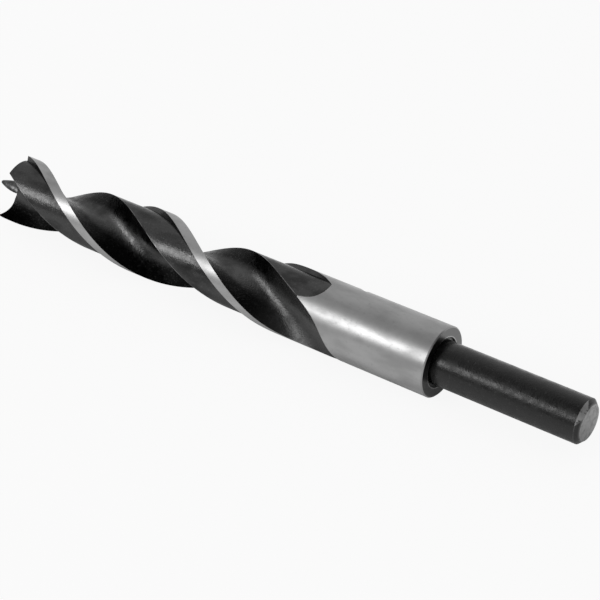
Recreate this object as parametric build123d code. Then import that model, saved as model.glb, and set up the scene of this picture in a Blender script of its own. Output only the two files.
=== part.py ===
from build123d import *
import os
from math import atan2, cos, degrees, pi, radians, sin, sqrt

# Brad point drill bit, one piece of steel, lying along X.
# The origin is on the axis in the plane of the shoulder: the shank runs to +X,
# the centre point is at the -X end. Right-hand helix, two flutes.
# Angles about the axis count from +Y towards +Z. "phi" is such an angle taken
# in the frame that turns with the helix, from the leading edge of a land.

# Turned blank
BODY_D = 16.0
OVERALL_LENGTH = 160.0
SHANK_D = 10.0
SHANK_LENGTH = 34.8
SHANK_CHAMFER = 1.05
SHOULDER_CHAMFER = 0.25
ROOT_GROOVE_WIDTH = 0.7
ROOT_GROOVE_DEPTH = 0.4

# Helix
LEAD = 81.5
LEADING_EDGE_AT_SHOULDER = 27.0
FLUTES = 2

# Flute: its section and its run-out towards the shank
WEB = 3.9
HEEL_PHI = 76.5
FLUTE_PHI = 128.0
HEEL_ROUNDNESS = 1.5
RAKE_ROUNDNESS = 8.0
FLUTE_END = -21.8
RUN_OUT_LENGTH = 22.2
RUN_OUT_SWING = 24.0
RUN_OUT_SKEW = 2.4

# Relieved land behind the bright margin
LAND_DEPTH = 1.07
MARGIN_PHI = 17.4
STEP_PHI = 2.5
HEEL_OVERLAP_PHI = 9.0
RELIEF_END = -28.5
RELIEF_RUN_OUT = 9.0
RELIEF_TIP_PHI = 15.0
RELIEF_HEEL_PHI = 67.0
RELIEF_HEEL_SETBACK = 4.5
MARGIN_END_PHI = 3.0
MARGIN_TAPER_START = -44.5
MARGIN_TAPER_LENGTH = 13.0

# Centre point, lips and spurs; depths are measured from the tip. The swell is how much
# thicker the spike is halfway up than the mean of its two ends. The bow is a point that
# the lip's curve passes, given outwards and upwards from the spike's base.
SPIKE_HEIGHT = 6.3
SPIKE_BASE_R = 2.5
SPIKE_END_R = 0.4
SPIKE_END_HEIGHT = 0.3
SPIKE_SWELL = 0.22
SPUR_DEPTH = 4.35
LIP_BOW_OUT = 2.4
LIP_BOW_UP = 0.43
TIP_CLEARANCE = 18.0
LIP_LAG = 12.0

# Worked out from the sizes above
BODY_R = BODY_D / 2
SHANK_R = SHANK_D / 2
LAND_R = BODY_R - LAND_DEPTH
TIP_X = SHANK_LENGTH - OVERALL_LENGTH
AXIS = Axis((0, 0, 0), (1, 0, 0))

# Cutting shapes reach this far past the blank
OUTSIDE_R = BODY_R * 1.3
OVERRUN = 4.0

# Sections that the helical cuts pass through
SECTIONS_PER_TURN = 14
RUN_OUT_SECTIONS = 10
WALL_POINTS = 5
LAND_POINTS = 4


def helix(x):
    """Angle of the first land's leading edge at station x."""
    return LEADING_EDGE_AT_SHOULDER + 360.0 * x / LEAD


def at(x, r, angle):
    """Point at station x, radius r, angle in degrees."""
    return Vector(x, r * cos(radians(angle)), r * sin(radians(angle)))


def evenly(start, end, count):
    return [start + (end - start) * i / count for i in range(count + 1)]


def ramp(t):
    """Smooth rise from 0 to 1 while t goes from 0 to 1."""
    t = min(max(t, 0.0), 1.0)
    return t * t * (3.0 - 2.0 * t)


def turned_blank():
    """Body and reduced shank, turned about the axis."""
    groove_r = SHANK_R + ROOT_GROOVE_WIDTH
    outline = Polyline(
        (TIP_X, 0),
        (TIP_X, BODY_R),
        (-SHOULDER_CHAMFER, BODY_R),
        (0, BODY_R - SHOULDER_CHAMFER),
        (0, groove_r),
        (-ROOT_GROOVE_DEPTH, groove_r),
        (-ROOT_GROOVE_DEPTH, SHANK_R),
        (SHANK_LENGTH - SHANK_CHAMFER, SHANK_R),
        (SHANK_LENGTH, SHANK_R - SHANK_CHAMFER),
        (SHANK_LENGTH, 0),
        close=True,
    )
    return revolve(make_face(outline), AXIS)


def flute_wall(lift, mouth, roundness, side):
    """One wall of the flute, from its floor out to OUTSIDE_R.

    The wall is a hyperbola in the plane across the axis: height h above the
    axis along the flute's middle, distance p to the side. It passes through
    the body's surface at `mouth` degrees from the middle. The whole wall is
    then lifted away from the axis. Gives pairs of radius and angle.
    """
    floor = WEB / 2
    rise = BODY_R * cos(radians(mouth)) - floor
    reach = BODY_R * sin(radians(mouth))
    steepness = ((rise + roundness) ** 2 - roundness**2) / reach**2
    base = floor - roundness + lift
    a = steepness + 1
    c = base**2 - roundness**2 - steepness * OUTSIDE_R**2
    top = (base + sqrt(base**2 - a * c)) / a
    points = []
    for p in evenly(0, sqrt(OUTSIDE_R**2 - top**2), WALL_POINTS - 1):
        h = base + sqrt(roundness**2 + steepness * p**2)
        points.append((sqrt(p * p + h * h), side * degrees(atan2(p, h))))
    return points


def flute_section(x):
    """Flute across the axis; in the run-out it rises and swings to one side."""
    t = max((x - FLUTE_END + RUN_OUT_LENGTH) / RUN_OUT_LENGTH, 0.0)
    lift = (BODY_R - WEB / 2) * t * t
    middle = helix(x) + FLUTE_PHI - RUN_OUT_SWING * sin(pi * min(t, 1.0) ** RUN_OUT_SKEW)
    heel = flute_wall(lift, FLUTE_PHI - HEEL_PHI, HEEL_ROUNDNESS, -1)
    rake = flute_wall(lift, 180.0 - FLUTE_PHI, RAKE_ROUNDNESS, 1)
    heel_points = [at(x, r, middle + a) for r, a in reversed(heel)]
    rake_points = [at(x, r, middle + a) for r, a in rake]
    mouth_point = at(x, OUTSIDE_R, middle + (heel[-1][1] + rake[-1][1]) / 2)
    return Wire(
        [
            Edge.make_spline(heel_points),
            Edge.make_spline(rake_points),
            Edge.make_three_point_arc(rake_points[-1], mouth_point, heel_points[0]),
        ]
    )


def relief_radius(x, phi):
    """Radius of the relieved land, rising to the body at its curved end."""
    across = (phi - RELIEF_TIP_PHI) / (RELIEF_HEEL_PHI - RELIEF_TIP_PHI)
    end = RELIEF_END - RELIEF_HEEL_SETBACK * across**2
    t = max((x - end + RELIEF_RUN_OUT) / RELIEF_RUN_OUT, 0.0)
    return LAND_R + (BODY_R - LAND_R) * t * t


def relief_section(x):
    """Space over the relieved land, from the margin's step to past the heel."""
    taper = ramp((x - MARGIN_TAPER_START) / MARGIN_TAPER_LENGTH)
    step_foot = MARGIN_PHI + (MARGIN_END_PHI - MARGIN_PHI) * taper + STEP_PHI
    past_heel = HEEL_PHI + HEEL_OVERLAP_PHI
    turn = helix(x)
    phis = evenly(step_foot, past_heel, LAND_POINTS - 1)
    land = [at(x, relief_radius(x, phi), turn + phi) for phi in phis]
    outer_step = at(x, OUTSIDE_R, turn + step_foot - 2 * STEP_PHI)
    outer_middle = at(x, OUTSIDE_R, turn + (step_foot + past_heel) / 2)
    outer_heel = at(x, OUTSIDE_R, turn + past_heel)
    return Wire(
        [
            Edge.make_line(outer_step, land[0]),
            Edge.make_spline(land),
            Edge.make_line(land[-1], outer_heel),
            Edge.make_three_point_arc(outer_heel, outer_middle, outer_step),
        ]
    )


def helical_cutter(section, run_out, end):
    """Solid through sections across the axis, closer together in the run-out."""
    start = TIP_X - OVERRUN
    turned = evenly(start, run_out, round((run_out - start) / LEAD * SECTIONS_PER_TURN))
    return Solid.make_loft([section(x) for x in turned + evenly(run_out, end, RUN_OUT_SECTIONS)[1:]])


def tip_cutter():
    """Half of the end grinding: the space in front of one cutting lip.

    A ring-shaped hollow between the centre point and the spur, turned about an
    axis leaning back from the lip, so that the end surface falls away behind
    the lip. Only the half behind the lip is kept.
    """
    spike_end = (SPIKE_END_HEIGHT, SPIKE_END_R)
    spike_base = (SPIKE_HEIGHT, SPIKE_BASE_R)
    spike_middle = (SPIKE_HEIGHT / 2, (SPIKE_END_R + SPIKE_BASE_R) / 2 + SPIKE_SWELL)
    lip_bow = (SPIKE_HEIGHT - LIP_BOW_UP, SPIKE_BASE_R + LIP_BOW_OUT)
    spike = Polyline((-OVERRUN, 0), (0, 0), spike_end)
    flank = ThreePointArc(spike_end, spike_middle, spike_base)
    lip = ThreePointArc(spike_base, lip_bow, (SPUR_DEPTH, BODY_R))
    beyond = lip @ 1 + (OUTSIDE_R - BODY_R) / (lip % 1).Y * (lip % 1)
    outside = Polyline(lip @ 1, beyond, (-OVERRUN, OUTSIDE_R), (-OVERRUN, 0))
    ring = revolve(make_face(spike + flank + lip + outside), AXIS)
    leaning = Location((TIP_X, 0, 0), (0, TIP_CLEARANCE, 0)) * ring
    behind_lip = Pos(TIP_X, 0, 0) * Box(
        4 * OUTSIDE_R, 4 * OUTSIDE_R, 2 * OUTSIDE_R, align=(Align.CENTER, Align.CENTER, Align.MIN)
    )
    return (leaning & behind_lip).rotate(AXIS, helix(TIP_X + SPIKE_HEIGHT) - LIP_LAG)


def drill_bit():
    """Turned blank with its lands relieved, its flutes cut and its end ground."""
    relief = helical_cutter(relief_section, MARGIN_TAPER_START, RELIEF_END + OVERRUN / 2)
    flute = helical_cutter(flute_section, FLUTE_END - RUN_OUT_LENGTH, FLUTE_END + OVERRUN / 4)
    tip = tip_cutter()
    bit = turned_blank()
    for i in range(FLUTES):
        turn = 360.0 * i / FLUTES
        bit = bit - relief.rotate(AXIS, turn)
        bit = bit - flute.rotate(AXIS, turn)
        bit = bit - tip.rotate(AXIS, turn)
    return bit


os.makedirs("parts", exist_ok=True)
result = drill_bit()
result.label = "drill_bit"
export_step(result, "parts/drill_bit.step")
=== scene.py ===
import math

import bmesh
import bpy
import numpy as np
from bpy.props import FloatProperty, FloatVectorProperty, PointerProperty
from mathutils import Euler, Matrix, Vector


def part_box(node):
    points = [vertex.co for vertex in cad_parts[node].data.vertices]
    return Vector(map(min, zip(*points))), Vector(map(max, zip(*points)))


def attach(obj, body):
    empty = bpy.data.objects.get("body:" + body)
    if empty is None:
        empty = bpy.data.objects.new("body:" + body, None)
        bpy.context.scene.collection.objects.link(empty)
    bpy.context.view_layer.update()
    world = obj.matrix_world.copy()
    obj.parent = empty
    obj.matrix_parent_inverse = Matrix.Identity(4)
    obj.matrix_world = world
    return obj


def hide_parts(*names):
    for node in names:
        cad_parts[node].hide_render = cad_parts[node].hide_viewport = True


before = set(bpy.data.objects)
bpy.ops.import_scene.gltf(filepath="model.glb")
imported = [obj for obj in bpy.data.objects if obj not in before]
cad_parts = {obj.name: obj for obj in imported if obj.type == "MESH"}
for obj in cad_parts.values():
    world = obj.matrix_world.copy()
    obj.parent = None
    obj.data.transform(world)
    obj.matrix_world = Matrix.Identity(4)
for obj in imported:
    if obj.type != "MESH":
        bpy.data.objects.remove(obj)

bl_info = {
    "name": "Brad point drill bit",
    "version": (1, 0, 0),
    "blender": (4, 5, 0),
    "location": "3D View > Sidebar > Drill bit",
    "description": "Builds a brad point drill bit of ground and blackened steel, with its stage",
    "category": "Add Mesh",
}

# The bit lies along X with its origin on the axis in the shoulder plane: the shank
# runs to +X and the centre point is at the -X end. Lengths are in metres, angles in
# radians. An angle about the axis counts from +Y towards +Z, and a phi counts from the
# helix that the first leading edge follows.
NODE = "drill_bit"
MM = 0.001
DEG = math.pi / 180.0
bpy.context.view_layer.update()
NODE_LOW, NODE_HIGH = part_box(NODE)
TIP_X = NODE_LOW.x
SHANK_END_X = NODE_HIGH.x
BODY_R = NODE_HIGH.y
FLOOR_Z = -BODY_R
FLOOR_REACH = 3.0
# The key light faces about the middle of the body
LIT_X = 0.45 * TIP_X
# The floor beside the axis is in full shade up to this share of the shade's reach
FULL_SHADE = 0.15

# Columns of the grid over half a turn, from one land's leading edge to the next
MARGIN_COLUMNS = 10
STEP_COLUMNS = 4
LAND_COLUMNS = 24
LAND_END_COLUMNS = 8
HEEL_COLUMNS = 22
RAKE_CORE_COLUMNS = 10
RAKE_COLUMNS = 16

# The rim of one end surface in order, as counts of columns with their parts of the spike's half turn
RIM_STRETCHES = [
    (RAKE_COLUMNS, 0.36),
    (MARGIN_COLUMNS + STEP_COLUMNS, 0.04),
    (LAND_COLUMNS + LAND_END_COLUMNS, 0.08),
    (HEEL_COLUMNS, 0.09),
    (RAKE_CORE_COLUMNS, 0.43),
]

# Rows of the grid, from the point to the end of the shank
SPIKE_END_ROWS = 3
SPIKE_ROWS = 14
LIP_ROWS = 14
SPUR_ROWS = 14
FLUTE_ROWS = 150
RELIEF_END_ROWS = 46
FLUTE_END_ROWS = 30
BODY_ROWS = 14
SHOULDER_ROWS = 3
SHANK_ROWS = 11
SHANK_END_RINGS = (0.9, 0.6, 0.3, 0.0)

# The step behind the margin is a straight line that heads for this radius, outside the body
STEP_TOP_R = 1.3 * BODY_R
# The rows of the end pass over into those of the body this far behind the spike's base
JOIN_BEHIND = 2.5 * MM
# Stations crowd towards the end of a cut as this power of their distance from it
CROWDING = 1.7
# The columns are even again after this share of the body behind the flutes
EVEN_AFTER = 0.6

# Searches for where two shapes meet: their rounds, the first guess and how far each round goes, and the
# stretches that halving starts from
HALVINGS = 44
HEEL_ROUNDS = 12
RIDGE_ROUNDS = 40
RIDGE_GUESS = 0.3
RIDGE_STEP = 0.5
DROP_LOW, DROP_HIGH = -4.0 * MM, 16.0 * MM
AHEAD_OF_TIP = 2.0 * MM

# Tolerances in metres: of a station or radius, of points that are one, and of a face on the turned body
CLOSE = 1e-9
MERGE = 1e-7
ON_BODY = 0.004 * MM
# Edges that turn more than this are sharp
SHARP_ANGLE = 32.0 * DEG

# Finishes, in the order of the material slots
GROUND, LAND, FLUTE, EDGE, SHOULDER, SHANK, SHANK_END, POINT = range(8)


def length(name, default_mm, text):
    """A property in metres, with its default given in millimetres."""
    return FloatProperty(name=name, default=default_mm * MM, unit="LENGTH", precision=5, description=text)


def angle(name, default_deg, text):
    """A property in radians, with its default given in degrees."""
    return FloatProperty(name=name, default=default_deg * DEG, subtype="ANGLE", description=text)


def level(name, default, text):
    """A property that isn't below 0."""
    return FloatProperty(name=name, default=default, min=0.0, description=text)


def grey(name, default, text):
    """A colour property, grey by default."""
    return FloatVectorProperty(name=name, subtype="COLOR", size=3, default=[default] * 3, description=text)


def heading(name, default, text):
    """A property that holds a direction."""
    return FloatVectorProperty(name=name, subtype="DIRECTION", default=default, description=text)


class BitSizes(bpy.types.PropertyGroup):
    """Sizes of the bit's steel body."""

    lead: length("Lead", 81.5, "Advance of the helix in one turn")
    first_edge: angle("First edge", 27.0, "Angle of the first leading edge at the shoulder")
    web: length("Web", 3.9, "Thickness of steel between the flutes")
    heel_phi: angle("Heel angle", 76.5, "From a leading edge back to the heel of its land")
    flute_phi: angle("Flute angle", 128.0, "From a leading edge back to the middle of the flute")
    heel_roundness: length("Heel wall roundness", 3.0, "How round the flute's floor is on the heel side")
    rake_roundness: length("Rake wall roundness", 8.0, "How round the flute's floor is on the rake side")
    flute_end: length("Flute end", -21.8, "Where the flutes end, from the shoulder")
    run_out: length("Flute run-out", 22.2, "Length over which a flute rises to the surface")
    run_out_swing: angle("Run-out swing", 24.0, "Sideways swing of the flute in its run-out")
    run_out_skew: FloatProperty(name="Run-out skew", default=2.4, description="How late the swing comes")
    land_depth: length("Land depth", 1.07, "How far the relieved land lies under the body")
    margin_phi: angle("Margin", 17.4, "Width of the ground margin behind the leading edge")
    margin_end_phi: angle("Margin at its end", 3.0, "Width of the margin where the relief ends")
    margin_taper_start: length("Margin taper start", -44.5, "Where the margin starts to narrow")
    margin_taper: length("Margin taper", 13.0, "Length over which the margin narrows")
    step_phi: angle("Step", 2.5, "Half of the angle that the margin's step takes up")
    relief_end: length("Relief end", -28.5, "Where the relieved land ends, from the shoulder")
    relief_run_out: length("Relief run-out", 9.0, "Length over which the relief rises")
    relief_tip_phi: angle("Relief tip", 15.0, "Where the rounded end of the relief reaches furthest")
    relief_heel_phi: angle("Relief heel", 67.0, "Angle at which the relief's end is set back")
    relief_setback: length("Relief setback", 4.5, "How far the relief's end is set back there")
    spike_height: length("Spike height", 6.3, "From the lips' roots to the centre point")
    spike_base_r: length("Spike base radius", 2.5, "Radius of the grinding ring at the spike's base")
    spike_end_r: length("Spike end radius", 0.4, "The same, at the foot of the point's cone")
    spike_end_height: length("Point height", 0.3, "Height of the point's cone")
    spike_swell: length("Spike swell", 0.22, "Added radius halfway up the spike, over the mean of its ends")
    spur_depth: length("Spur depth", 4.35, "Depth of the spur at the body's radius, from the point")
    lip_bow_out: length("Lip bow outwards", 2.4, "From the spike's base out to a point on the lip's curve")
    lip_bow_up: length("Lip bow upwards", 0.43, "From the spike's base up to that point")
    clearance: angle("Lip clearance", 18.0, "How far the end surface falls away behind a lip")
    lip_lag: angle("Lip lag", 12.0, "How far the lip's ridge lies behind the helix")
    shoulder_chamfer: length("Shoulder chamfer", 0.25, "Chamfer on the shoulder's edge")
    groove_width: length("Root groove width", 0.7, "Width of the groove round the shank's root")
    groove_depth: length("Root groove depth", 0.4, "Depth of the groove round the shank's root")
    shank_r: length("Shank radius", 5.0, "Radius of the reduced shank")
    shank_chamfer: length("Shank chamfer", 1.05, "Chamfer on the shank's end")


class BitFinishes(bpy.types.PropertyGroup):
    """Colours of the steel's finishes, where the flutes' floors are rubbed and painted brighter as a
    highlight, and where their oxide is thin.
    """

    ground: grey("Ground steel", 0.38, "Bright ground steel")
    turned: grey("Turned steel", 0.12, "Darker steel of the turned shoulder")
    oxide: grey("Black oxide", 0.004, "Black oxide that isn't rubbed")
    land: grey("Land", 0.062, "Burnished oxide on the relieved lands")
    flute: grey("Flute wall", 0.011, "Burnished oxide on the flutes' walls")
    # The flute floor's colour, and the band near the axis that the next two settings bound: oxide rubbed by
    # chips, made brighter still as a painted highlight
    rubbed_floor_and_highlight: grey("Flute floor", 0.082, "Burnished oxide that chips rub along the flutes' floors")
    thin_oxide: grey("Thin oxide", 0.038, "Oxide where the flutes run out")
    rubbed_and_highlight_full: length("Rubbed in full", 2.0, "Up to this distance from the axis chips rub the flute")
    rubbed_and_highlight_end: length("Rubbed no more", 4.4, "Past this distance from the axis they don't")
    thin_start: length("Thin oxide start", -50.0, "Where the flutes' oxide starts to thin")
    thin_full: length("Thin oxide in full", -30.0, "Where it has thinned")


class StudioSettings(bpy.types.PropertyGroup):
    """The camera, the light and the floor."""

    camera_place: FloatVectorProperty(
        name="Camera",
        subtype="TRANSLATION",
        unit="LENGTH",
        default=(0.162337, -0.276174, 0.237184),
        description="Where the camera stands",
    )
    camera_down: angle("Camera tilt", 34.752, "How far the camera looks down")
    camera_turn: angle("Camera turn", 35.775, "How far the camera is turned to the left of +Y")
    lens: FloatProperty(name="Lens", default=114.0, unit="CAMERA", description="Focal length")
    key_direction: heading("Key light", (-0.50, -0.69, 0.52), "From the body to the key light")
    key_distance: length("Key distance", 1500.0, "From the body to the key light")
    key_length: length("Key length", 880.0, "Length of the key light along the body")
    key_height: length("Key height", 540.0, "Height of the key light")
    key_radiance: level("Key radiance", 4.2, "Brightness of the key light")
    ambient: level("Ambient", 0.7, "Light from all round")
    overhead: heading("Overhead shade", (0.683, -0.183, 0.707), "From the body to the shade overhead")
    floor: grey("Floor", 0.82, "Plain pale floor")
    floor_white: level("Floor white", 0.9, "Share of plain white in the floor as it is seen")
    floor_shade: level("Floor shade", 0.9, "Share of that white that its mirror image loses near the axis")
    shade_reach: length("Shade reach", 15.0, "How far from the axis that shade reaches over the floor")


def helix(s, x):
    """Angle of the first leading edge at x: a straight line, one turn for each lead."""
    return s.first_edge + 2.0 * np.pi * x / s.lead


def ramp(t):
    """Smooth rise from 0 to 1: three t squared less two t cubed."""
    t = np.clip(t, 0.0, 1.0)
    return t * t * (3.0 - 2.0 * t)


def spread(count, crowd=0.5):
    """count + 1 numbers from 0 to 1, drawn towards both ends by a share of half a cosine wave."""
    t = np.linspace(0.0, 1.0, count + 1)
    return (1.0 - crowd) * t + crowd * 0.5 * (1.0 - np.cos(np.pi * t))


def about_axis(x, r, a):
    """Points at stations x, radii r and angles a: (x, r cos a, r sin a)."""
    return np.stack(np.broadcast_arrays(x, r * np.cos(a), r * np.sin(a)), -1)


def circle_through(a, b, c):
    """Centre and radius of the circle through three points, where two bisectors cross."""
    (ax, ay), (bx, by), (cx, cy) = a, b, c
    twice_area = 2.0 * (ax * (by - cy) + bx * (cy - ay) + cx * (ay - by))
    aa, bb, cc = ax * ax + ay * ay, bx * bx + by * by, cx * cx + cy * cy
    ux = (aa * (by - cy) + bb * (cy - ay) + cc * (ay - by)) / twice_area
    uy = (aa * (cx - bx) + bb * (ax - cx) + cc * (bx - ax)) / twice_area
    return ux, uy, math.hypot(ax - ux, ay - uy)


class Wall:
    """One wall of the flute: a hyperbola in the plane across the axis.

    Height above the axis is the floor's and the lift, less the roundness, plus the root of roundness squared
    plus steepness times p squared, where p is the distance to the side of the flute's middle. Without lift
    it meets the body's surface at the angle `mouth` from the middle.
    """

    def __init__(self, web, mouth, roundness):
        rise = BODY_R * math.cos(mouth) - web / 2.0
        reach = BODY_R * math.sin(mouth)
        self.roundness = roundness
        self.floor = web / 2.0
        self.steepness = ((rise + roundness) ** 2 - roundness**2) / reach**2

    def edge(self, lift, radius):
        """Distance p at which the lifted wall reaches a radius, from the quadratic in its height."""
        base = self.floor - self.roundness + lift
        a = self.steepness + 1.0
        c = base**2 - self.roundness**2 - self.steepness * radius**2
        top = (base + np.sqrt(np.maximum(base**2 - a * c, 0.0))) / a
        return np.sqrt(np.maximum(radius**2 - top**2, 0.0))

    def polar(self, lift, p):
        """Radius and angle from the flute's middle, at distance p."""
        height = self.floor - self.roundness + lift + np.sqrt(self.roundness**2 + self.steepness * p**2)
        return np.hypot(p, height), np.arctan2(p, height)


def relief_radius(s, x, phi):
    """Radius of the land: level, then rising as a square to the body's radius at its curved end."""
    across = (phi - s.relief_tip_phi) / (s.relief_heel_phi - s.relief_tip_phi)
    end = s.relief_end - s.relief_setback * across**2
    t = np.clip((x - end + s.relief_run_out) / s.relief_run_out, 0.0, 1.0)
    return BODY_R - s.land_depth * (1.0 - t * t)


def flute_middle(s, x):
    """Lift of the flute at x, as a square in its run-out, and the angle of its middle, which swings."""
    t = np.clip((x - s.flute_end) / s.run_out + 1.0, 0.0, 1.0)
    lift = (BODY_R - s.web / 2.0) * t * t
    return lift, s.flute_phi - s.run_out_swing * np.sin(np.pi * t**s.run_out_skew)


def heel_edge(s, x, wall, lift, middle):
    """Distance p and angle at which the heel wall comes out of the land, by repeated substitution."""
    heel_phi = middle - wall.polar(lift, wall.edge(lift, BODY_R - s.land_depth))[1]
    for _ in range(HEEL_ROUNDS):
        heel_p = wall.edge(lift, relief_radius(s, x, heel_phi))
        heel_phi = middle - wall.polar(lift, heel_p)[1]
    return heel_p, heel_phi


def land_section(s, x, lead_phi, heel_phi):
    """Angles and radii of the margin, the step, the relieved land and what is left of the body behind it.

    The step rises in a straight line. The relieved land's end is a parabola: its width grows as the root of
    the distance from its furthest point.
    """
    taper = ramp((x - s.margin_taper_start) / s.margin_taper)
    foot_phi = s.margin_phi + s.step_phi + (s.margin_end_phi - s.margin_phi) * taper
    foot_r = relief_radius(s, x, foot_phi)
    top_phi = foot_phi - 2.0 * s.step_phi * ((BODY_R - foot_r) / (STEP_TOP_R - foot_r))
    width = s.relief_heel_phi - s.relief_tip_phi
    span = np.sqrt(np.maximum(s.relief_end - x, 0.0) / s.relief_setback) * width
    relief_start = np.maximum(s.relief_tip_phi - span, foot_phi)
    relief_stop = np.clip(s.relief_tip_phi + span, relief_start, heel_phi)

    margin = lead_phi + (top_phi - lead_phi) * spread(MARGIN_COLUMNS)[:-1]
    down = np.linspace(0.0, 1.0, STEP_COLUMNS + 1)[:-1]
    step = top_phi + (relief_start - top_phi) * down
    step_r = BODY_R + (relief_radius(s, x, relief_start) - BODY_R) * down
    land = relief_start + (relief_stop - relief_start) * spread(LAND_COLUMNS)[:-1]
    land_end = relief_stop + (heel_phi - relief_stop) * spread(LAND_END_COLUMNS)[:-1]
    phi = np.concatenate([margin, step, land, land_end], 1)
    radii = [np.full_like(margin, BODY_R), step_r, relief_radius(s, x, land), relief_radius(s, x, land_end)]
    r = np.concatenate(radii, 1)

    # Past the relief's end the columns spread out evenly
    share = (phi - lead_phi) / (heel_phi - lead_phi)
    past = x[:, 0] > s.relief_end
    if past.any() and not past.all():
        share[past] = share[~past][-1]
    even = np.linspace(0.0, 1.0, share.shape[1] + 1)[:-1]
    w = ramp((x - s.relief_end) / (s.flute_end - s.relief_end))
    phi = lead_phi + (heel_phi - lead_phi) * (share + (even - share) * w)
    return phi, np.where(past[:, None], BODY_R, r)


def half_section(s, x, ridge_share):
    """Angle from the leading edge's helix and radius, for half a turn at each of the stations x.

    Along a row lie the margin, the step, the relieved land, what is left of the body behind it, the heel
    wall down to the flute's floor and the rake wall up to the next leading edge.
    """
    x = np.asarray(x, float)[:, None]
    lift, middle = flute_middle(s, x)
    heel_wall = Wall(s.web, s.flute_phi - s.heel_phi, s.heel_roundness)
    rake_wall = Wall(s.web, np.pi - s.flute_phi, s.rake_roundness)
    rake_p = rake_wall.edge(lift, BODY_R)
    lead_phi = middle + rake_wall.polar(lift, rake_p)[1] - np.pi
    heel_p, heel_phi = heel_edge(s, x, heel_wall, lift, middle)
    land_phi, land_r = land_section(s, x, lead_phi, heel_phi)

    heel_r, heel_a = heel_wall.polar(lift, heel_p * spread(HEEL_COLUMNS)[::-1][:-1])
    core = ridge_share * spread(RAKE_CORE_COLUMNS, 0.0)[:-1]
    outer = ridge_share + (1.0 - ridge_share) * spread(RAKE_COLUMNS)[:-1]
    rake_r, rake_a = rake_wall.polar(lift, rake_p * np.concatenate([core, outer]))
    phi = np.concatenate([land_phi, middle - heel_a, middle + rake_a], 1)
    r = np.concatenate([land_r, heel_r, rake_r], 1)

    # Past the flutes' end all columns spread out evenly
    w = ramp((x - s.flute_end) / (-EVEN_AFTER * s.flute_end))
    even = phi[:, :1] + np.linspace(0.0, np.pi, phi.shape[1] + 1)[:-1]
    return phi + (even - phi) * w, np.minimum(r, BODY_R)


class EndGrinding:
    """The ring-shaped cut that leaves the spike, a lip and a spur, leaning back from the lip.

    Its profile is a radius about the leaning axis against a depth along it: the point's cone, an arc for
    the spike's flank, an arc for the lip and the lip's tangent beyond the body.
    """

    def __init__(self, s):
        self.cos, self.sin = math.cos(s.clearance), math.sin(s.clearance)
        end = (s.spike_end_height, s.spike_end_r)
        base = (s.spike_height, s.spike_base_r)
        spur = (s.spur_depth, BODY_R)
        spike_middle = (s.spike_height / 2.0, (end[1] + base[1]) / 2.0 + s.spike_swell)
        lip_bow = (s.spike_height - s.lip_bow_up, s.spike_base_r + s.lip_bow_out)
        self.flank = circle_through(end, spike_middle, base)
        self.lip = circle_through(base[::-1], lip_bow[::-1], spur[::-1])
        self.flank_angles = [math.atan2(r - self.flank[1], d - self.flank[0]) for d, r in (end, base)]

    def lip_depth(self, r):
        """Depth of the lip at radius r: the arc, and its tangent past the body's radius."""
        centre_r, centre_d, radius = self.lip
        on_arc = centre_d + np.sqrt(np.maximum(radius**2 - (np.minimum(r, BODY_R) - centre_r) ** 2, 0.0))
        slope = -(BODY_R - centre_r) / math.sqrt(radius**2 - (BODY_R - centre_r) ** 2)
        return on_arc + slope * np.maximum(r - BODY_R, 0.0)

    def excess(self, dx, y, z):
        """How far a point lies under the end surface, along the leaning axis."""
        z = np.abs(z)
        depth = dx * self.cos - z * self.sin
        return depth - self.lip_depth(np.hypot(y, dx * self.sin + z * self.cos))

    def drop(self, y, z):
        """Distance from the point's plane to the end surface over (y, z), by halving."""
        low, high = np.full(np.shape(y), DROP_LOW), np.full(np.shape(y), DROP_HIGH)
        for _ in range(HALVINGS):
            middle = 0.5 * (low + high)
            under = self.excess(middle, y, z) > 0.0
            low, high = np.where(under, low, middle), np.where(under, middle, high)
        return 0.5 * (low + high)

    def around(self, depth, r, turn_share):
        """Point on the ring at a share of its half turn, as (distance from the point's plane, y, z)."""
        start = np.arcsin(np.clip(depth * self.sin / self.cos / np.maximum(r, CLOSE), 0.0, 1.0))
        psi = start + turn_share * (np.pi - 2.0 * start)
        side, up = r * np.cos(psi), r * np.sin(psi)
        return depth * self.cos + up * self.sin, side, -depth * self.sin + up * self.cos

    def flank_profile(self, count):
        """Depth and radius along the flank, from the cone's foot to the spike's base."""
        a, b = self.flank_angles
        angles = a + (b - a) * np.linspace(0.0, 1.0, count + 1)
        depth, radius, size = self.flank
        return depth + size * np.cos(angles), radius + size * np.sin(angles)


def lip_frame_turn(s):
    """Angle about the axis of the plane that holds both lips' ridges."""
    return helix(s, TIP_X + s.spike_height) - s.lip_lag


def ridge_share_of(s, grinding):
    """Share of the rake wall at which the two end surfaces' ridge meets it, by repeated substitution."""
    wall = Wall(s.web, np.pi - s.flute_phi, s.rake_roundness)
    p = RIDGE_GUESS * wall.edge(0.0, BODY_R)
    for _ in range(RIDGE_ROUNDS):
        r = wall.polar(0.0, p)[0]
        x = TIP_X + grinding.drop(np.array([r]), np.array([0.0]))[0]
        wanted = np.pi + lip_frame_turn(s) - helix(s, x) - s.flute_phi
        p += RIDGE_STEP * (r * math.sin(wanted) - p)
    return float(p / wall.edge(0.0, BODY_R))


def foot_shares(rim_y, rim_z):
    """Share of the spike's half turn at which each column of one end surface starts, from the ridge on.

    The shares grow with the length of the rim. Each stretch of the rim has its own part of the half turn,
    which keeps the columns apart between the spike and the bowed lip.
    """
    counts, parts = zip(*RIM_STRETCHES)
    segments = np.hypot(np.diff(rim_y), np.diff(rim_z))
    starts = np.cumsum([0, *counts[:-1]])
    steps = segments / np.repeat(np.add.reduceat(segments, starts), counts) * np.repeat(parts, counts)
    return np.cumsum(steps) - steps


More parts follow.
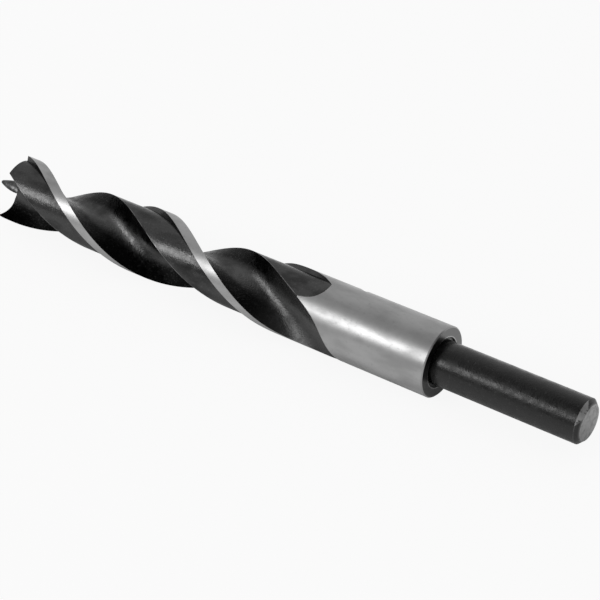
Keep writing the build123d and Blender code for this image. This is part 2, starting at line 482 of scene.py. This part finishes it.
def rim_stations(s, grinding, phi, r, join_x):
    """Station at which each column's helical line comes through the end surface, found by halving."""
    turn = lip_frame_turn(s)
    low, high = np.full(phi.shape, TIP_X - AHEAD_OF_TIP), np.full(phi.shape, join_x)
    for _ in range(HALVINGS):
        middle = 0.5 * (low + high)
        a = phi + helix(s, middle) - turn
        under = grinding.excess(middle - TIP_X, r * np.cos(a), r * np.sin(a)) > 0.0
        low, high = np.where(under, low, middle), np.where(under, middle, high)
    return 0.5 * (low + high)


def end_surface(s, grinding, rim_a, rim_r):
    """Rows of one end surface, from the centre point down the spike and out over the lip to the rim.

    Over the lip a column's angle and radius both change evenly from the spike's base to the rim. Gives the
    distance from the point's plane, y and z.
    """
    share = foot_shares(rim_r * np.cos(rim_a), rim_r * np.sin(rim_a))
    rim_a, rim_r = rim_a[:-1], rim_r[:-1]
    foot_dx, foot_y, foot_z = grinding.around(s.spike_height, s.spike_base_r, share)
    foot_a, foot_r = np.arctan2(np.maximum(foot_z, 0.0), foot_y), np.hypot(foot_y, foot_z)

    cone = spread(SPIKE_END_ROWS, 0.0)[:-1, None]
    tip = grinding.around(cone * s.spike_end_height, cone * s.spike_end_r, share[None, :])
    depth, radius = grinding.flank_profile(SPIKE_ROWS)
    flank = grinding.around(depth[:-1, None], radius[:-1, None], share[None, :])
    w = spread(LIP_ROWS)[:-1, None]
    lip_r, lip_a = foot_r + (rim_r - foot_r) * w, foot_a + (rim_a - foot_a) * w
    lip_y, lip_z = lip_r * np.cos(lip_a), lip_r * np.sin(lip_a)
    lip_dx = grinding.drop(lip_y, lip_z)
    lip_dx[0] = foot_dx
    rows = [np.broadcast_arrays(*part) for part in (tip, flank, (lip_dx, lip_y, lip_z))]
    return (np.concatenate(parts) for parts in zip(*rows))


def tip_rows(s, grinding, phi, r, join_x):
    """Rows of points from the centre point over the spike and the lips to the spurs, and on to join_x."""
    rim_x = rim_stations(s, grinding, phi, r, join_x)
    turn = lip_frame_turn(s)

    # One end surface runs from the ridge over its lip, its land and the flute's floor to the other ridge
    half = phi.size // 2
    first = half - RAKE_COLUMNS
    order = (np.arange(half + 1) + first) % (2 * half)
    rim_a = phi[order] + helix(s, rim_x[order]) - turn - np.pi
    rim_a = (rim_a + 0.5 * np.pi) % (2.0 * np.pi) - 0.5 * np.pi
    dx, y, z = end_surface(s, grinding, rim_a, r[order])
    a, radius = np.arctan2(z, y) + turn, np.hypot(y, z)
    ends = [about_axis(TIP_X + dx, radius, a + other) for other in (np.pi, 0.0)]
    end = np.roll(np.concatenate(ends, 1), first, 1)

    x = rim_x + (join_x - rim_x) * spread(SPUR_ROWS, 0.0)[:-1, None]
    return np.concatenate([end, about_axis(x, r, phi + helix(s, x))])


def stations(s, join_x):
    """Stations along the fluted body, closer together where the relief and the flutes end."""
    flutes = np.linspace(join_x, s.margin_taper_start, FLUTE_ROWS + 1)
    u = 1.0 - np.linspace(0.0, 1.0, RELIEF_END_ROWS + 1)
    relief = s.relief_end - (s.relief_end - s.margin_taper_start) * u**CROWDING
    u = 1.0 - np.linspace(0.0, 1.0, FLUTE_END_ROWS + 1)
    run_out = s.flute_end - (s.flute_end - s.relief_end) * u**CROWDING
    body = np.linspace(s.flute_end, -s.shoulder_chamfer, BODY_ROWS + 1)
    return np.concatenate([flutes, relief[1:], run_out[1:], body[1:]])


def turned_rows(s, angles):
    """Rows of the shoulder, groove and shank: a profile turned about the axis."""
    groove_r = s.shank_r + s.groove_width
    face_r = s.shank_r - s.shank_chamfer
    profile = [
        (0.0, BODY_R - s.shoulder_chamfer),
        (0.0, 0.5 * (BODY_R + groove_r)),
        (0.0, groove_r),
        (-s.groove_depth, groove_r),
        (-s.groove_depth, s.shank_r),
        (0.0, s.shank_r),
    ]
    shank_x = np.linspace(0.0, SHANK_END_X - s.shank_chamfer, SHANK_ROWS + 1)
    profile += [(x, s.shank_r) for x in shank_x[1:]]
    profile += [(SHANK_END_X, face_r)]
    profile += [(SHANK_END_X, face_r * share) for share in SHANK_END_RINGS]
    x, r = (np.array(column)[:, None] for column in zip(*profile))
    return about_axis(x, r, angles)


def bit_grid(s):
    """The bit as one grid of points: rows from the centre point to the shank's end, columns round it."""
    grinding = EndGrinding(s)
    join_x = TIP_X + s.spike_height + JOIN_BEHIND
    x = stations(s, join_x)
    phi, r = half_section(s, x, ridge_share_of(s, grinding))
    phi = np.concatenate([phi, phi + np.pi], 1)
    r = np.concatenate([r, r], 1)
    tip = tip_rows(s, grinding, phi[0], r[0], join_x)
    a = phi + helix(s, x[:, None])
    return np.concatenate([tip, about_axis(x[:, None], r, a), turned_rows(s, a[-1])])


def finish_grid(s, points):
    """Which finish each face of the grid has, from its row and column and from its radius.

    The end surfaces come first. Behind them a face is bright ground steel where it lies at the body's
    radius. Otherwise it is blackened, on the land as in the flute, and rubbed along the heel's edge. The
    shoulder, the shank and the shank's end follow.
    """
    radius = np.hypot(points[..., 1], points[..., 2])
    beside = np.roll(radius, -1, 1)
    lowest = np.minimum(np.minimum(radius[:-1], radius[1:]), np.minimum(beside[:-1], beside[1:]))
    land = MARGIN_COLUMNS + STEP_COLUMNS + LAND_COLUMNS
    half = [LAND] * (land + LAND_END_COLUMNS) + [FLUTE] * (HEEL_COLUMNS + RAKE_CORE_COLUMNS + RAKE_COLUMNS)
    half[land - 1] = EDGE
    finish = np.tile(np.array(half + half), (len(lowest), 1))
    finish[lowest > BODY_R - ON_BODY] = GROUND
    finish[: SPIKE_END_ROWS + SPIKE_ROWS + LIP_ROWS] = POINT
    x = points[..., 0].min(1)[:-1]
    shoulder = int(np.argmax(x > -s.shoulder_chamfer - CLOSE))
    finish[shoulder : shoulder + SHOULDER_ROWS] = SHOULDER
    finish[shoulder + SHOULDER_ROWS :] = SHANK
    finish[x > SHANK_END_X - s.shank_chamfer - CLOSE] = SHANK_END
    return finish


def grid_mesh(name, points, finish):
    """Mesh of a grid that closes round its columns. Merging the points that are one closes its poles."""
    rows, columns = points.shape[:2]
    index = np.arange(rows * columns).reshape(rows, columns)
    beside = np.roll(index, -1, 1)
    quads = np.stack([index[:-1], beside[:-1], beside[1:], index[1:]], -1).reshape(-1, 4)
    mesh = bpy.data.meshes.new(name)
    mesh.from_pydata(points.reshape(-1, 3), [], quads)
    mesh.polygons.foreach_set("material_index", finish.reshape(-1).astype(np.int32))
    bm = bmesh.new()
    bm.from_mesh(mesh)
    bmesh.ops.remove_doubles(bm, verts=bm.verts, dist=MERGE)
    bmesh.ops.recalc_face_normals(bm, faces=bm.faces)
    bm.to_mesh(mesh)
    bm.free()
    return mesh


def shade_round(mesh):
    """Shades the mesh smooth between its sharp edges, and its turned body as a true cylinder.

    On the faces that lie on the body, every corner's normal points straight away from the axis.
    """
    mesh.polygons.foreach_set("use_smooth", np.ones(len(mesh.polygons), bool))
    mesh.set_sharp_from_angle(angle=SHARP_ANGLE)
    mesh.update()
    corners = len(mesh.loops)
    normals, points = np.empty(corners * 3), np.empty(len(mesh.vertices) * 3)
    vertices, starts = np.empty(corners, int), np.empty(len(mesh.polygons), int)
    mesh.corner_normals.foreach_get("vector", normals)
    mesh.vertices.foreach_get("co", points)
    mesh.loops.foreach_get("vertex_index", vertices)
    mesh.polygons.foreach_get("loop_start", starts)
    normals, points = normals.reshape(-1, 3), points.reshape(-1, 3)[vertices]
    radius = np.hypot(points[:, 1], points[:, 2])
    on_body = np.minimum.reduceat(radius, starts) > BODY_R - ON_BODY
    on_body = np.repeat(on_body, np.diff(np.append(starts, corners)))
    outwards = about_axis(0.0, 1.0, np.arctan2(points[:, 2], points[:, 1]))
    mesh.normals_split_custom_set(np.where(on_body[:, None], outwards, normals))


class Value:
    """A socket's number in a node tree; +, - and * on it add the Math nodes that work them out."""

    def __init__(self, nodes, socket):
        self.nodes, self.socket = nodes, socket

    def math(self, operation, *numbers):
        made = self.nodes.add("ShaderNodeMath", {"operation": operation}, dict(enumerate(numbers)))
        return Value(self.nodes, made.outputs[0])

    def __add__(self, other):
        return self.math("ADD", self, other)

    def __sub__(self, other):
        return self.math("SUBTRACT", self, other)

    def __rsub__(self, other):
        return self.math("SUBTRACT", other, self)

    def __mul__(self, other):
        return self.math("MULTIPLY", self, other)

    __radd__, __rmul__ = __add__, __mul__

    def between(self, low, high):
        """A smooth rise from 0 at low to 1 at high, or a smooth fall where low is above high."""
        inputs = {0: self, 1: low, 2: high}
        return self.nodes.value("ShaderNodeMapRange", {"interpolation_type": "SMOOTHSTEP"}, inputs)


class Nodes:
    """A node tree that is filled node by node."""

    def __init__(self, tree):
        self.tree = tree
        tree.nodes.clear()

    def add(self, kind, settings=None, inputs=None):
        """A node with its settings made first, then its inputs given by name or number."""
        made = self.tree.nodes.new(kind)
        for name, setting in (settings or {}).items():
            setattr(made, name, setting)
        for key, given in (inputs or {}).items():
            given = given.socket if isinstance(given, Value) else given
            if isinstance(given, bpy.types.NodeSocket):
                self.tree.links.new(given, made.inputs[key])
            else:
                made.inputs[key].default_value = given
        return made

    def value(self, kind, settings=None, inputs=None, output=0):
        return Value(self, self.add(kind, settings, inputs).outputs[output])

    def parts(self, vector):
        """The x, y and z of a vector."""
        separated = self.add("ShaderNodeSeparateXYZ", {}, {0: vector})
        return [Value(self, part) for part in separated.outputs]

    def place(self):
        """Object coordinates, in metres along the object's own axes."""
        return self.add("ShaderNodeTexCoord").outputs["Object"]

    def stretched(self, point, scale):
        """A point with each of its parts multiplied by its own number."""
        return self.add("ShaderNodeVectorMath", {"operation": "MULTIPLY"}, {0: point, 1: scale}).outputs[0]

    def noise(self, point, scale=1.0, detail=3.0):
        inputs = {"Vector": point, "Scale": scale, "Detail": detail, "Roughness": 0.55}
        return self.value("ShaderNodeTexNoise", {}, inputs)

    def mixed(self, a, b, share):
        """Colour a, or b as the share goes to 1."""
        return self.add("ShaderNodeMix", {"data_type": "RGBA"}, {0: share, 6: a, 7: b}).outputs[2]

    def bumped(self, height, strength, distance):
        """Normals of a surface that a height from 0 to 1 raises by up to a distance."""
        inputs = {"Strength": strength, "Distance": distance, "Height": height}
        return self.add("ShaderNodeBump", {}, inputs).outputs[0]

    def principled(self, look):
        """The material's surface, from the values and links of its look."""
        shader = self.add("ShaderNodeBsdfPrincipled", {}, look)
        self.add("ShaderNodeOutputMaterial", {}, {0: shader.outputs[0]})


def shade(colour, share=1.0):
    """A share of a colour, opaque."""
    return *(share * part for part in colour), 1.0


def from_axis(y, z):
    """Distance from the bit's axis: the root of y squared plus z squared."""
    square = y * y + z * z
    return square.math("SQRT", square)


def ground_finish(nodes, s, finishes):
    """Ground steel: fine lines round the axis in broader bands, dulled by smudges and small spots."""
    point = nodes.place()
    lines = nodes.noise(nodes.stretched(point, (7000.0, 90.0, 90.0)))
    bands = nodes.noise(nodes.stretched(point, (500.0, 40.0, 40.0)))
    smudges = nodes.noise(nodes.stretched(point, (1.0, 2.5, 2.5)), scale=90.0)
    spots = nodes.noise(point, scale=1300.0).between(0.58, 0.72)
    clean = smudges.between(0.3, 0.6) * (1.0 - 0.6 * spots)
    bright = 0.4 * bands + 0.6 * clean
    look = {
        "Base Color": nodes.mixed(shade(finishes.ground, 0.72), shade(finishes.ground), bright),
        "Metallic": 1.0,
        "Roughness": 0.36 + 0.14 * bands - 0.1 * clean,
        "Normal": nodes.bumped(lines, strength=0.2, distance=0.01 * MM),
    }
    nodes.principled(look)


def burnished(nodes, finishes, point, colour, smooth, rough, grain):
    """Look of burnished oxide, which mirrors as much as its colour says.

    It is smooth and rough by turns under a fine grain, speckled with dull steel and streaked with soot.
    """
    mottle = nodes.noise(point, scale=700.0)
    fine = nodes.noise(point, scale=2600.0, detail=2.0)
    specks = nodes.noise(point, scale=2200.0, detail=2.0).between(0.52, 0.75)
    soot = nodes.noise(nodes.stretched(point, (0.6, 1.0, 1.0)), scale=260.0, detail=4.0).between(0.42, 0.68)
    speckled = nodes.mixed(colour, shade(finishes.ground, 0.5), 0.18 * specks)
    return {
        "Base Color": nodes.mixed(speckled, shade(finishes.oxide), 0.5 * soot),
        "Metallic": 1.0,
        "Specular Tint": (0.7, 0.7, 0.7, 1.0),
        "Roughness": smooth + (rough - smooth) * mottle.between(0.3, 0.7),
        "Normal": nodes.bumped(fine, strength=grain, distance=0.05 * MM),
    }


def land_finish(nodes, s, finishes):
    """The relieved land: burnished oxide."""
    colour = shade(finishes.land)
    nodes.principled(burnished(nodes, finishes, nodes.place(), colour, smooth=0.12, rough=0.3, grain=0.8))


def flute_finish(nodes, s, finishes):
    """The flute: burnished oxide, its floor rubbed and painted brighter as a highlight, thin and grey where
    it runs out.
    """
    point = nodes.place()
    x, y, z = nodes.parts(point)
    # Floor near the axis: rubbed oxide whose colour is raised further as a painted highlight
    rubbed = from_axis(y, z).between(finishes.rubbed_and_highlight_end, finishes.rubbed_and_highlight_full)
    colour = nodes.mixed(shade(finishes.flute), shade(finishes.rubbed_floor_and_highlight), rubbed)
    look = burnished(nodes, finishes, point, colour, smooth=0.16, rough=0.4, grain=1.0)
    thin = x.between(finishes.thin_start, finishes.thin_full)
    look["Base Color"] = nodes.mixed(look["Base Color"], shade(finishes.thin_oxide), thin)
    look["Metallic"] = 1.0 - thin
    nodes.principled(look)


def worn(nodes, finishes, wear, bare, look):
    """Finishes a look with black oxide that gives way to steel as wear goes from 0 to 1.

    That steel is as bright as the share `bare` of the ground steel.
    """
    look["Base Color"] = nodes.mixed(shade(finishes.oxide), shade(finishes.ground, bare), wear)
    look["Metallic"] = wear
    nodes.principled(look)


def edge_finish(nodes, s, finishes):
    """The heel's edge, where the oxide is rubbed off in places."""
    wear = 0.8 * nodes.noise(nodes.place(), scale=400.0).between(0.35, 0.6)
    worn(nodes, finishes, wear, 0.5, {"Roughness": 0.3})


def shoulder_finish(nodes, s, finishes):
    """The turned shoulder, left grey, with the tool's fine rings, and a painted highlight along both of its
    edges.
    """
    _, y, z = nodes.parts(nodes.place())
    radius = from_axis(y, z)
    across = nodes.add("ShaderNodeCombineXYZ", {}, {0: radius}).outputs[0]
    rings = nodes.noise(across, scale=10000.0)
    groove_r, chamfer_r = s.shank_r + s.groove_width, BODY_R - s.shoulder_chamfer
    # Painted highlight: the steel's colour is raised along the groove's edge and along the chamfer
    groove_edge_glint = radius.between(groove_r + 0.25 * MM, groove_r + 0.1 * MM)
    outer = radius.between(chamfer_r - 0.05 * MM, chamfer_r + 0.01 * MM)
    edges = 0.4 * (groove_edge_glint + 0.7 * outer)
    look = {
        "Base Color": nodes.mixed(shade(finishes.turned), shade(finishes.ground, 2.0), edges),
        "Metallic": 1.0,
        "Roughness": 0.28,
        "Normal": nodes.bumped(rings, strength=0.3, distance=0.01 * MM),
    }
    nodes.principled(look)


def shank_finish(nodes, s, finishes):
    """The shank: black oxide under a soft sheen that fine grain breaks up, with faint bare specks."""
    point = nodes.place()
    mottle = nodes.noise(point, scale=700.0)
    fine = nodes.noise(point, scale=2600.0, detail=2.0)
    specks = nodes.noise(point, scale=1800.0, detail=2.0).between(0.58, 0.78)
    look = {
        "IOR": 1.42,
        "Roughness": 0.16 + 0.24 * mottle.between(0.3, 0.7),
        "Normal": nodes.bumped(fine, strength=0.6, distance=0.05 * MM),
    }
    worn(nodes, finishes, 0.14 * specks, 0.5, look)


def shank_end_finish(nodes, s, finishes):
    """The end of the shank, its oxide rubbed thin over the face.

    It is worn in spots round the face's rim and the chamfer's foot. The chamfer's upper side, towards the
    key light, is bared further as a painted highlight.
    """
    point = nodes.place()
    x, y, z = nodes.parts(point)
    radius = from_axis(y, z)
    rim_r = s.shank_r - s.shank_chamfer
    mottle = nodes.noise(point, scale=900.0)
    face = x.between(SHANK_END_X - 0.1 * MM, SHANK_END_X - 0.01 * MM)
    inside = radius.between(rim_r - 0.35 * MM, rim_r)
    outside = radius.between(rim_r + 0.4 * MM, rim_r + 0.05 * MM)
    foot = radius.between(s.shank_r - 0.2 * MM, s.shank_r - 0.03 * MM)
    # Painted highlight: bare steel on the side of the chamfer that faces the key light
    key_side_highlight = (z - 0.6 * y).between(4.4 * MM, 4.9 * MM) * (1.0 - face)
    spots = (0.45 * (inside * outside) + 1.4 * key_side_highlight + 0.25 * foot) * mottle.between(0.3, 0.5)
    wear = (0.35 + 0.65 * mottle.between(0.25, 0.6)) * face + spots
    look = {
        "Roughness": 0.25 + 0.3 * mottle,
        "Normal": nodes.bumped(mottle, strength=0.6, distance=0.05 * MM),
    }
    worn(nodes, finishes, wear.math("MINIMUM", wear, 1.0), 0.8, look)


def point_finish(nodes, s, finishes):
    """The end surfaces: ground steel, darkened in patches."""
    patches = nodes.noise(nodes.place(), scale=900.0).between(0.35, 0.7)
    colour = nodes.mixed(shade(finishes.ground, 0.12), shade(finishes.ground, 0.3), patches)
    nodes.principled({"Base Color": colour, "Metallic": 1.0, "Roughness": 0.3})


# One for each slot, in the order of the slots' numbers. All are given the node tree, the bit's sizes and
# the finishes' settings.
FINISHES = [
    ("ground steel", ground_finish),
    ("black land", land_finish),
    ("black flute", flute_finish),
    ("rubbed edge", edge_finish),
    ("turned shoulder", shoulder_finish),
    ("black shank", shank_finish),
    ("shank end", shank_end_finish),
    ("ground point", point_finish),
]


class BIT_OT_steel(bpy.types.Operator):
    """Builds the bit's steel and hides the plain node that it stands for"""

    bl_idname = "drillbit.steel"
    bl_label = "Drill bit"

    def execute(self, context):
        s = context.scene.bit_sizes
        points = bit_grid(s)
        mesh = grid_mesh("bit_steel", points, finish_grid(s, points))
        piece = bpy.data.objects.new("bit_steel", mesh)
        context.scene.collection.objects.link(piece)
        for name, finish in FINISHES:
            material = bpy.data.materials.new(name)
            material.use_nodes = True
            finish(Nodes(material.node_tree), s, context.scene.bit_finishes)
            mesh.materials.append(material)
        shade_round(mesh)
        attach(piece, "root")
        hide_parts(NODE)
        return {"FINISHED"}


def seen_ray(nodes):
    """1 for rays from the camera and for those that metal and glass send on, otherwise 0."""
    path = nodes.add("ShaderNodeLightPath").outputs
    rays = [Value(nodes, path[f"Is {kind} Ray"]) for kind in ("Camera", "Glossy", "Transmission")]
    total = rays[0] + rays[1] + rays[2]
    return total.math("MINIMUM", total, 1.0)


def pale_floor(studio):
    """A large square floor under the bit.

    As it is seen it is mostly plain white, but keeps the bit's shadow. The steel mirrors less of that white
    near the axis, where the real floor lies in the bit's own shade.
    """
    corners = FLOOR_REACH * np.array([(-1.0, -1.0), (1.0, -1.0), (1.0, 1.0), (-1.0, 1.0)])
    mesh = bpy.data.meshes.new("floor")
    mesh.from_pydata(np.column_stack([corners, np.full(4, FLOOR_Z)]), [], [(0, 1, 2, 3)])
    material = bpy.data.materials.new("pale_floor")
    material.use_nodes = True
    mesh.materials.append(material)
    nodes = Nodes(material.node_tree)
    _, y, _ = nodes.parts(nodes.place())
    beside = y.math("ABSOLUTE", y).between(studio.shade_reach, FULL_SHADE * studio.shade_reach)
    glossy = Value(nodes, nodes.add("ShaderNodeLightPath").outputs["Is Glossy Ray"])
    share = (seen_ray(nodes) - studio.floor_shade * glossy * beside) * studio.floor_white
    diffuse = nodes.add("ShaderNodeBsdfDiffuse", {}, {"Color": shade(studio.floor)})
    white = nodes.add("ShaderNodeEmission", {}, {"Color": (1.0, 1.0, 1.0, 1.0), "Strength": 1.0})
    mixed = nodes.add("ShaderNodeMixShader", {}, {0: share, 1: diffuse.outputs[0], 2: white.outputs[0]})
    nodes.add("ShaderNodeOutputMaterial", {}, {0: mixed.outputs[0]})
    return bpy.data.objects.new("floor", mesh)


def studio_world(studio):
    """Even light from all round.

    What the steel mirrors is pale, with three darker stretches: low in front, in front to the right, and
    overhead.
    """
    world = bpy.data.worlds.new("studio")
    world.use_nodes = True
    world.cycles.sampling_method = "NONE"
    nodes = Nodes(world.node_tree)
    direction = nodes.add("ShaderNodeTexCoord").outputs["Generated"]
    x, y, z = nodes.parts(direction)
    low_front = z.between(0.32, 0.12) * y.between(-0.3, -0.8)
    right_front = x.between(-0.3, 0.05) * y.between(-0.4, -0.7)
    dot_product = {0: direction, 1: studio.overhead}
    towards = nodes.value("ShaderNodeVectorMath", {"operation": "DOT_PRODUCT"}, dot_product, 1)
    overhead = towards.between(0.2, 0.6) * z.between(0.35, 0.55)
    mirrored = (1.0 - 0.4 * low_front) * (1.0 - 0.8 * right_front) * (1.0 - 0.88 * overhead)
    strength = studio.ambient + seen_ray(nodes) * (mirrored - studio.ambient)
    background = nodes.add("ShaderNodeBackground", {}, {"Strength": strength})
    nodes.add("ShaderNodeOutputWorld", {}, {0: background.outputs[0]})
    return world


def key_light(studio):
    """A large soft light that faces the body, and whose own brightness stays the same at any size."""
    direction = Vector(studio.key_direction).normalized()
    light = bpy.data.lights.new("key", "AREA")
    light.shape = "RECTANGLE"
    light.size, light.size_y = studio.key_length, studio.key_height
    light.energy = studio.key_radiance * math.pi * studio.key_length * studio.key_height
    key = bpy.data.objects.new("key", light)
    key.location = Vector((LIT_X, 0.0, 0.0)) + studio.key_distance * direction
    key.rotation_euler = direction.to_track_quat("Z", "Y").to_euler()
    return key


def front_camera(studio):
    """The camera, without roll."""
    camera = bpy.data.objects.new("camera", bpy.data.cameras.new("camera"))
    camera.data.lens = studio.lens
    camera.data.clip_start = 10.0 * MM
    camera.location = studio.camera_place
    camera.rotation_euler = Euler((0.5 * math.pi - studio.camera_down, 0.0, studio.camera_turn))
    return camera


class BIT_OT_stage(bpy.types.Operator):
    """Sets up the pale floor, the soft light and the camera"""

    bl_idname = "drillbit.stage"
    bl_label = "Stage"

    def execute(self, context):
        scene = context.scene
        studio = scene.bit_studio
        floor, key, camera = pale_floor(studio), key_light(studio), front_camera(studio)
        for thing in (floor, key, camera):
            scene.collection.objects.link(thing)
        scene.world = studio_world(studio)
        scene.camera = camera
        scene.view_settings.view_transform = "Standard"
        return {"FINISHED"}


class BIT_PT_panel(bpy.types.Panel):
    """Lists the drill bit's operators and settings"""

    bl_idname = "BIT_PT_panel"
    bl_label = "Drill bit"
    bl_space_type = "VIEW_3D"
    bl_region_type = "UI"
    bl_category = "Drill bit"

    def draw(self, context):
        scene = context.scene
        for operator in (BIT_OT_steel, BIT_OT_stage):
            self.layout.operator(operator.bl_idname)
        for settings in (scene.bit_sizes, scene.bit_finishes, scene.bit_studio):
            column = self.layout.column(align=True)
            for name in type(settings).__annotations__:
                column.prop(settings, name)


CLASSES = (BitSizes, BitFinishes, StudioSettings, BIT_OT_steel, BIT_OT_stage, BIT_PT_panel)
SETTINGS = {"bit_sizes": BitSizes, "bit_finishes": BitFinishes, "bit_studio": StudioSettings}


def register():
    for cls in CLASSES:
        bpy.utils.register_class(cls)
    for name, group in SETTINGS.items():
        setattr(bpy.types.Scene, name, PointerProperty(type=group))


def unregister():
    for name in SETTINGS:
        delattr(bpy.types.Scene, name)
    for cls in reversed(CLASSES):
        bpy.utils.unregister_class(cls)


def main():
    register()
    bpy.ops.drillbit.steel()
    bpy.ops.drillbit.stage()


if __name__ == "__main__":
    main()
